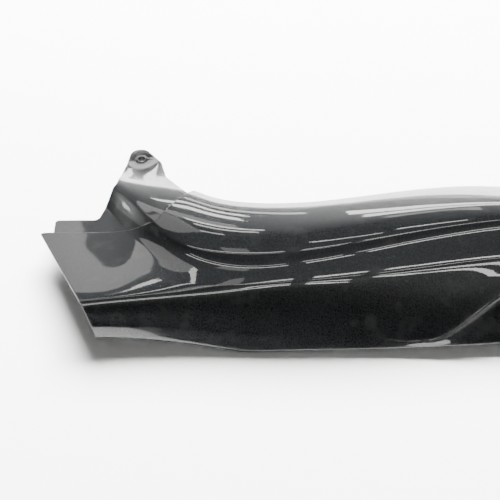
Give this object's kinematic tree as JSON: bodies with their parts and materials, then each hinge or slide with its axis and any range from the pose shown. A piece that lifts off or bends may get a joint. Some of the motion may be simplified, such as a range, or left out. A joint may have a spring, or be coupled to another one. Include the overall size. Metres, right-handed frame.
{
  "type": "motorcycle tail fairing panel",
  "caption": "Moulded side panel of a motorcycle tail: a glossy shell with a sunk channel, a bevelled lower face, a recessed front flange and a screw tab.",
  "frame": {"origin": "centre of the screw hole at the tab's underside", "axes": "+X along the panel towards its tail end, +Y across it towards its top edge, +Z along the screw hole, out of the painted side"},
  "size_m": [0.5656, 0.2763, 0.0705],
  "materials": {
    "painted_plastic": "dark grey metallic paint under clear coat"
  },
  "bodies": {
    "root": {"tail_panel": "painted_plastic"}
  },
  "joints": []
}
